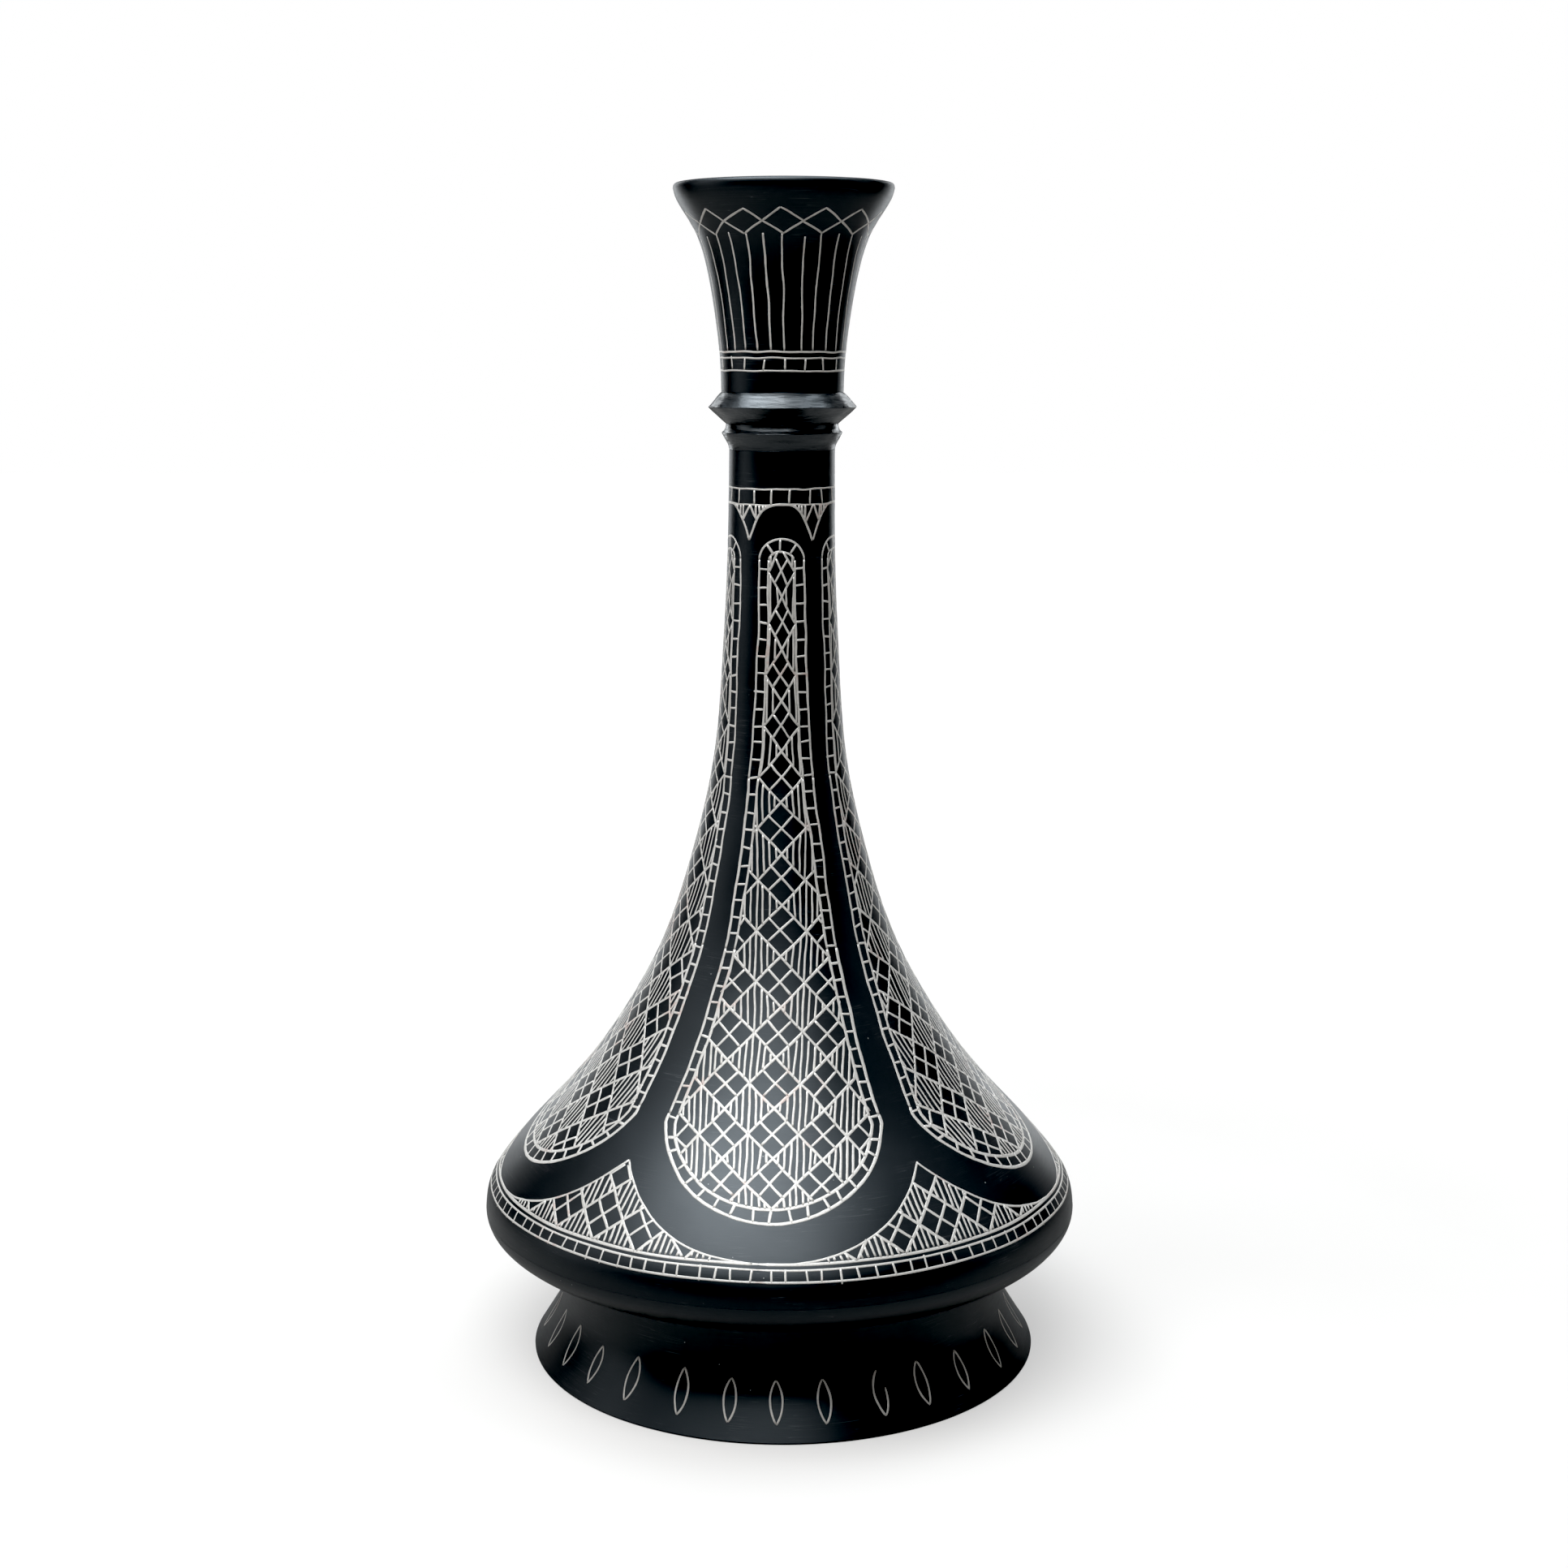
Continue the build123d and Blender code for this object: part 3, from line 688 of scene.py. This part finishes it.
def inlay_pendants(material):
    """The arch over each panel, and a hatched diamond in each pendant between the arches."""
    edges = Inlay("pendant_outlines", BELL, 5)
    hatch = Inlay("pendant_hatch", BELL, 6)
    half = PITCH / 2
    corner = half - 8.6
    for k in range(PANELS):
        turn = k * PITCH
        arch = [(a, pendant_height(a)) for a in np.linspace(-half, half, 37)]
        edges.wire(arch, width=0.4, slack=0.06, turn=turn)
        for hand in (1, -1):
            side = [(hand * half, NECK_RINGS[0]), (hand * corner, pendant_height(corner))]
            edges.wire(side, width=0.4, slack=0.06, turn=turn)
            for away in (8.8, 12.5, 16.5, 20.5):
                angle = hand * (half - away - hatch.hand.uniform(-0.8, 0.8))
                upright = [(angle, pendant_height(angle)), (angle, NECK_RINGS[0])]
                hatch.wire(upright, width=0.38, slack=0.05, turn=turn)
    edges.done(material)
    hatch.done(material)


# How far some of the flutes and diamond peaks stray from even spacing, in degrees, by number
FLUTE_STRAY = {0: -1.2, 1: 1.4, 2: 0.1, 3: 0.7, 4: 0.4, 27: -0.8, 26: -0.3, 25: -0.1, 24: 1.2, 23: 2.2}
PEAK_STRAY = {0: -1.8, 1: -1.0, 2: -1.2, 13: 2.3, 12: 1.6}


def inlay_cup_band(material):
    rings = Inlay("mouth_rings", CUP, 7)
    for along in CUP_RINGS:
        rings.ring(along, width=0.30)
    rings.done(material)
    ticks = Inlay("mouth_ticks", CUP, 8)
    ticks.ticks(CUP_TICKS, CUP_RINGS[0] + 0.1, CUP_RINGS[1] - 0.1, width=0.34, first=2.2, stray=1.0)
    ticks.done(material)


def inlay_flutes(material):
    flutes = Inlay("mouth_flutes", CUP, 9)
    for k in range(FLUTES):
        angle = 360 * k / FLUTES + FLUTE_STRAY.get(k, flutes.hand.uniform(-1.4, 1.4))
        bow = flutes.hand.uniform(-0.6, 0.6)
        top = CHAIN_LOW + (0.1 if k % 2 == 0 else flutes.hand.uniform(-0.6, 0.3))
        path = [
            (angle + FLUTE_LEAN * t + bow * math.sin(math.pi * t), top + (FLUTE_FOOT - top) * t)
            for t in np.linspace(0, 1, 12)
        ]
        flutes.wire(path, width=0.33, slack=0.08)
    flutes.done(material)


def inlay_diamonds(material):
    """A chain of diamonds under the lip; their upper peaks stray more than their lower ones."""
    chain = Inlay("mouth_diamonds", CUP, 10)
    step = 360 / DIAMONDS
    peaks = []
    for k in range(DIAMONDS):
        upper = k * step + PEAK_STRAY.get(k, chain.hand.uniform(-2, 2))
        lower = k * step + chain.hand.uniform(-0.6, 0.6)
        peaks.append(((upper, CHAIN_HIGH), (lower, CHAIN_LOW)))
    joints = [(k + 0.5) * step + chain.hand.uniform(-1, 1) for k in range(DIAMONDS)]
    for k in range(DIAMONDS):
        before = joints[k - 1] - (360 if k == 0 else 0)
        for peak in peaks[k]:
            chain.wire([(before, CHAIN_MIDDLE), peak], width=0.36, slack=0.04)
            chain.wire([peak, (joints[k], CHAIN_MIDDLE)], width=0.36, slack=0.04)
    chain.done(material)


# The leaves on the front of the foot, unevenly spaced; the rest follow at an even pitch. One leaf
# has lost the upper end of one of its two wires.
LEAF_ANGLES = (-73.8, -62.1, -50.4, -37.9, -24.3, -12.2, -1.5, 9.5, 23.1, 34.4, 46.9, 61.0, 72.9, 84.3)
LEAF_PITCH = 11.88
OPEN_LEAF, OPEN_SHARE = 8, 0.62


def inlay_foot(material):
    leaves = Inlay("foot_leaves", FOOT, 11)
    spread = [LEAF_ANGLES[-1] + LEAF_PITCH * (k + 1) for k in range(LEAVES - len(LEAF_ANGLES))]
    for k, middle in enumerate(list(LEAF_ANGLES) + spread):
        size = leaves.hand.uniform(0.92, 1.06)
        for hand in (1, -1):
            path = []
            for t in np.linspace(0, OPEN_SHARE if k == OPEN_LEAF and hand == 1 else 1, 16):
                swell = LEAF_WIDTH / 2 * size * math.sin(math.pi * t) ** 0.8
                along = LEAF_LOW + (LEAF_HIGH - LEAF_LOW) * size * t
                path.append((middle + hand * float(FOOT.degrees(swell, along)), along))
            leaves.wire(path, width=0.36, slack=0.05)
    leaves.done(material)


# Materials --------------------------------------------------------------------------------------


class Shader:
    """A node material with short ways to add textures measured in millimetres."""

    def __init__(self, name):
        self.material = bpy.data.materials.new(name)
        self.material.use_nodes = True
        self.nodes, self.links = self.material.node_tree.nodes, self.material.node_tree.links
        self.shader = self.nodes["Principled BSDF"]
        self.place = self.nodes.new("ShaderNodeTexCoord").outputs["Object"]

    def scaled(self, per_mm, stretch=(1, 1, 1), turn=(0, 0, 0)):
        """Places on the object, turned and scaled to so many to the millimetre."""
        mapping = self.nodes.new("ShaderNodeMapping")
        mapping.inputs["Rotation"].default_value = turn
        mapping.inputs["Scale"].default_value = [s * per_mm / METRE for s in stretch]
        self.links.new(self.place, mapping.inputs["Vector"])
        return mapping.outputs["Vector"]

    def noise(self, per_mm, detail, stretch=(1, 1, 1), turn=(0, 0, 0)):
        texture = self.nodes.new("ShaderNodeTexNoise")
        texture.inputs["Scale"].default_value = 1.0
        texture.inputs["Detail"].default_value = detail
        self.links.new(self.scaled(per_mm, stretch, turn), texture.inputs["Vector"])
        return texture.outputs["Fac"]

    def cells(self, per_mm):
        texture = self.nodes.new("ShaderNodeTexVoronoi")
        texture.inputs["Scale"].default_value = 1.0
        self.links.new(self.scaled(per_mm), texture.inputs["Vector"])
        return texture

    def ramp(self, value, *stops):
        """A value turned into greys or colours through (place, shade) stops."""
        ramp = self.nodes.new("ShaderNodeValToRGB")
        elements = ramp.color_ramp.elements
        while len(elements) < len(stops):
            elements.new(0.5)
        for element, (place, shade) in zip(elements, stops):
            element.position = place
            element.color = (*shade, 1) if isinstance(shade, tuple) else (shade, shade, shade, 1)
        self.links.new(value, ramp.inputs["Fac"])
        return ramp.outputs["Color"]

    def feed(self, socket, value):
        """Links another node's output to a socket, or sets the socket to a number or colour."""
        if isinstance(value, (int, float)):
            socket.default_value = value
        elif isinstance(value, tuple):
            socket.default_value = (*value, 1)
        else:
            self.links.new(value, socket)

    def mix(self, share, low, high):
        mix = self.nodes.new("ShaderNodeMix")
        mix.data_type = "RGBA"
        for number, value in ((0, share), (6, low), (7, high)):
            self.feed(mix.inputs[number], value)
        return mix.outputs[2]

    def math(self, kind, a, b):
        node = self.nodes.new("ShaderNodeMath")
        node.operation = kind
        self.feed(node.inputs[0], a)
        self.feed(node.inputs[1], b)
        return node.outputs[0]

    def bump(self, height, depth_mm, strength=1.0, under=None):
        bump = self.nodes.new("ShaderNodeBump")
        bump.inputs["Distance"].default_value = depth_mm * METRE
        bump.inputs["Strength"].default_value = strength
        self.links.new(height, bump.inputs["Height"])
        if under is not None:
            self.links.new(under, bump.inputs["Normal"])
        return bump.outputs["Normal"]

    def put(self, socket, value):
        self.feed(self.shader.inputs[socket], value)


def black_alloy():
    """Zinc alloy blackened with earth paste: satin, with file streaks, fine scratches and dust."""
    s = Shader("black_alloy")
    patches = s.noise(0.07, 4)
    grain = s.noise(5.0, 4)
    streaks = s.noise(1.0, 3, stretch=(0.25, 0.25, 6.0))
    colour = s.ramp(patches, (0.3, (0.0012, 0.0013, 0.0016)), (0.7, (0.0026, 0.0028, 0.0034)))
    colour = s.mix(s.ramp(grain, (0.45, 0.0), (0.8, 0.5)), colour, (0.0045, 0.0047, 0.0055))
    for turn, per_mm in (((0.3, 0.5, 0.2), 0.5), ((1.1, -0.4, 0.9), 0.7)):
        lines = s.noise(per_mm, 1, stretch=(0.06, 0.06, 5.0), turn=turn)
        hairs = s.ramp(lines, (0.494, 0.0), (0.5, 1.0), (0.506, 0.0))
        rare = s.ramp(s.noise(0.11, 2, turn=turn), (0.55, 0.0), (0.62, 0.8))
        colour = s.mix(s.math("MULTIPLY", hairs, rare), colour, (0.055, 0.055, 0.058))
    specks = s.cells(0.45)
    near = s.ramp(specks.outputs["Distance"], (0.03, 1.0), (0.05, 0.0))
    chosen = s.ramp(specks.outputs["Color"], (0.80, 0.0), (0.82, 1.0))
    colour = s.mix(s.math("MULTIPLY", near, chosen), colour, (0.30, 0.30, 0.29))
    s.put("Base Color", colour)
    rough = s.ramp(patches, (0.25, 0.36), (0.75, 0.44))
    s.put("Roughness", s.math("ADD", rough, s.math("MULTIPLY", streaks, 0.08)))
    s.put("Specular IOR Level", 0.7)
    s.put("Specular Tint", (0.88, 0.95, 1.0))
    s.put("Normal", s.bump(streaks, 0.010, 0.5, s.bump(grain, 0.006, 0.6)))
    return s.material


def filed_alloy():
    """The collars: the same alloy left brighter by the file, with strokes that run round them."""
    s = Shader("filed_alloy")
    strokes = s.noise(1.0, 4, stretch=(0.35, 0.35, 2.6), turn=(0.06, 0.05, 0.0))
    patches = s.noise(0.35, 3)
    colour = s.ramp(patches, (0.3, (0.0015, 0.0016, 0.0019)), (0.75, (0.0045, 0.0048, 0.0055)))
    s.put("Base Color", s.mix(s.ramp(strokes, (0.5, 0.0), (0.72, 0.5)), colour, (0.012, 0.013, 0.014)))
    s.put("Roughness", s.ramp(strokes, (0.3, 0.26), (0.7, 0.40)))
    s.put("Specular IOR Level", 1.0)
    s.put("Specular Tint", (0.90, 0.96, 1.0))
    s.put("Normal", s.bump(strokes, 0.09, 1.0, s.bump(patches, 0.06, 1.0)))
    return s.material


def silver_wire():
    """Fine silver, filed flush: satin and warm grey, with tarnish here and there."""
    s = Shader("silver_wire")
    slow = s.noise(0.12, 3)
    fine = s.noise(3.0, 4)
    colour = s.ramp(slow, (0.3, (0.53, 0.505, 0.472)), (0.7, (0.67, 0.64, 0.605)))
    colour = s.mix(s.ramp(fine, (0.4, 0.0), (0.75, 0.55)), colour, (0.44, 0.415, 0.385))
    region = s.ramp(s.noise(0.09, 2, turn=(0.4, 0.8, 0.1)), (0.58, 0.0), (0.68, 0.7))
    blots = s.ramp(s.noise(0.9, 2), (0.45, 0.0), (0.6, 1.0))
    colour = s.mix(s.math("MULTIPLY", region, blots), colour, (0.52, 0.40, 0.36))
    s.put("Base Color", colour)
    s.put("Metallic", 0.35)
    s.put("Roughness", s.ramp(fine, (0.3, 0.42), (0.7, 0.62)))
    s.put("Normal", s.bump(fine, 0.012, 0.7))
    return s.material


def solder():
    """Dull grey solder, blotched and uneven, in the hidden joints."""
    s = Shader("solder")
    blotch = s.noise(1.5, 3)
    s.put("Base Color", s.ramp(blotch, (0.3, (0.30, 0.30, 0.29)), (0.7, (0.48, 0.47, 0.45))))
    s.put("Metallic", 0.8)
    s.put("Roughness", s.ramp(blotch, (0.3, 0.45), (0.7, 0.65)))
    s.put("Normal", s.bump(blotch, 0.05))
    return s.material


# Stage ------------------------------------------------------------------------------------------


def make_floor():
    """A pale floor that fades into the white backdrop, so that no horizon shows."""
    half = 3.0
    corners = [(-half, -half, 0), (half, -half, 0), (half, half, 0), (-half, half, 0)]
    mesh = bpy.data.meshes.new("floor")
    mesh.from_pydata(corners, [], [(0, 1, 2, 3)])
    floor = bpy.data.objects.new("floor", mesh)
    bpy.context.scene.collection.objects.link(floor)
    s = Shader("pale_floor")
    clouds = s.noise(0.01, 2)
    s.put("Base Color", s.ramp(clouds, (0.3, (0.335, 0.318, 0.303)), (0.7, (0.352, 0.336, 0.321))))
    s.put("Roughness", 0.8)
    s.put("Specular IOR Level", 0.1)
    far = s.nodes.new("ShaderNodeVectorMath")
    far.operation = "LENGTH"
    s.links.new(s.place, far.inputs[0])
    glow = s.ramp(far.outputs["Value"], (0.15, 0.49), (0.9, 1.0))
    seen = s.nodes.new("ShaderNodeLightPath").outputs["Is Camera Ray"]
    s.put("Emission Color", (1, 1, 1))
    s.put("Emission Strength", s.math("MULTIPLY", glow, seen))
    mesh.materials.append(s.material)


def make_light(name, place, target, size, power, colour):
    """A soft panel of light that the camera does not see."""
    light = bpy.data.lights.new(name, "AREA")
    light.shape = "RECTANGLE"
    light.size, light.size_y = size
    light.energy, light.color = power, colour
    lamp = bpy.data.objects.new(name, light)
    lamp.location = place
    lamp.rotation_euler = (Vector(target) - Vector(place)).to_track_quat("-Z", "Y").to_euler()
    lamp.visible_camera = False
    bpy.context.scene.collection.objects.link(lamp)


def make_lights():
    """A large light above and in front, one straight above, fills at the sides and rims behind."""
    cool, pale, middle = (0.97, 0.985, 1.0), (0.95, 0.98, 1.0), (0, 0, 0.10)
    make_light("overhead", (-0.17, -0.34, 0.76), (0, 0, 0.06), (0.78, 0.44), 8.2, (0.94, 0.975, 1.0))
    make_light("ceiling", (-0.03, 0.05, 0.64), (-0.03, 0.05, 0.0), (0.70, 0.36), 3.6, (0.86, 0.94, 1.0))
    make_light("left_fill", (-0.75, -0.05, 0.35), middle, (0.40, 0.60), 0.8, cool)
    make_light("right_fill", (0.75, -0.05, 0.35), middle, (0.40, 0.60), 0.4, cool)
    make_light("left_rim", (-0.30, 0.55, 0.20), middle, (0.14, 0.55), 1.0, pale)
    make_light("right_rim", (0.30, 0.55, 0.20), middle, (0.14, 0.55), 1.05, pale)


def make_world():
    """A white backdrop for the camera alone, and a dim warm room for everything else."""
    world = bpy.data.worlds.new("studio")
    world.use_nodes = True
    nodes, links = world.node_tree.nodes, world.node_tree.links
    backdrop = nodes["Background"]
    room = nodes.new("ShaderNodeBackground")
    mix = nodes.new("ShaderNodeMixShader")
    path = nodes.new("ShaderNodeLightPath")
    backdrop.inputs["Color"].default_value = (1, 1, 1, 1)
    backdrop.inputs["Strength"].default_value = 1.0
    room.inputs["Color"].default_value = (1.0, 0.99, 0.97, 1)
    room.inputs["Strength"].default_value = 0.04
    links.new(path.outputs["Is Camera Ray"], mix.inputs[0])
    links.new(room.outputs[0], mix.inputs[1])
    links.new(backdrop.outputs[0], mix.inputs[2])
    links.new(mix.outputs[0], nodes["World Output"].inputs["Surface"])
    bpy.context.scene.world = world


def make_camera():
    """A close camera, a little below the height of the mouth, looking gently down."""
    look_down = 10.5
    data = bpy.data.cameras.new("camera")
    data.sensor_width = 36
    data.lens = 53.9
    camera = bpy.data.objects.new("camera", data)
    camera.location = (0.00082, -0.4037, 0.1768)
    camera.rotation_euler = (math.radians(90 - look_down), 0, 0)
    bpy.context.scene.collection.objects.link(camera)
    bpy.context.scene.camera = camera


def set_view():
    """Plain colours, with the deepest shadows taken to black."""
    view = bpy.context.scene.view_settings
    view.view_transform = "Standard"
    view.use_curve_mapping = True
    view.curve_mapping.black_level = (0.024, 0.024, 0.024)


def finish_cad_solder():
    """The hidden rings of solder keep their CAD meshes, in their own material."""
    grey = solder()
    for node in ("foot_solder", "shoulder_solder", "neck_solder"):
        for place in bpy.data.objects[node].material_slots:
            place.material = grey


def main():
    make_camera()
    make_world()
    make_floor()
    make_lights()
    set_view()

    black, silver = black_alloy(), silver_wire()
    make_foot(black)
    make_bowl(black)
    make_bell(black)
    make_collars(filed_alloy())
    make_cup(black)
    inlay_panels(silver)
    inlay_spandrels(silver)
    inlay_shoulder(silver)
    inlay_neck(silver)
    inlay_pendants(silver)
    inlay_cup_band(silver)
    inlay_flutes(silver)
    inlay_diamonds(silver)
    inlay_foot(silver)
    finish_cad_solder()


main()
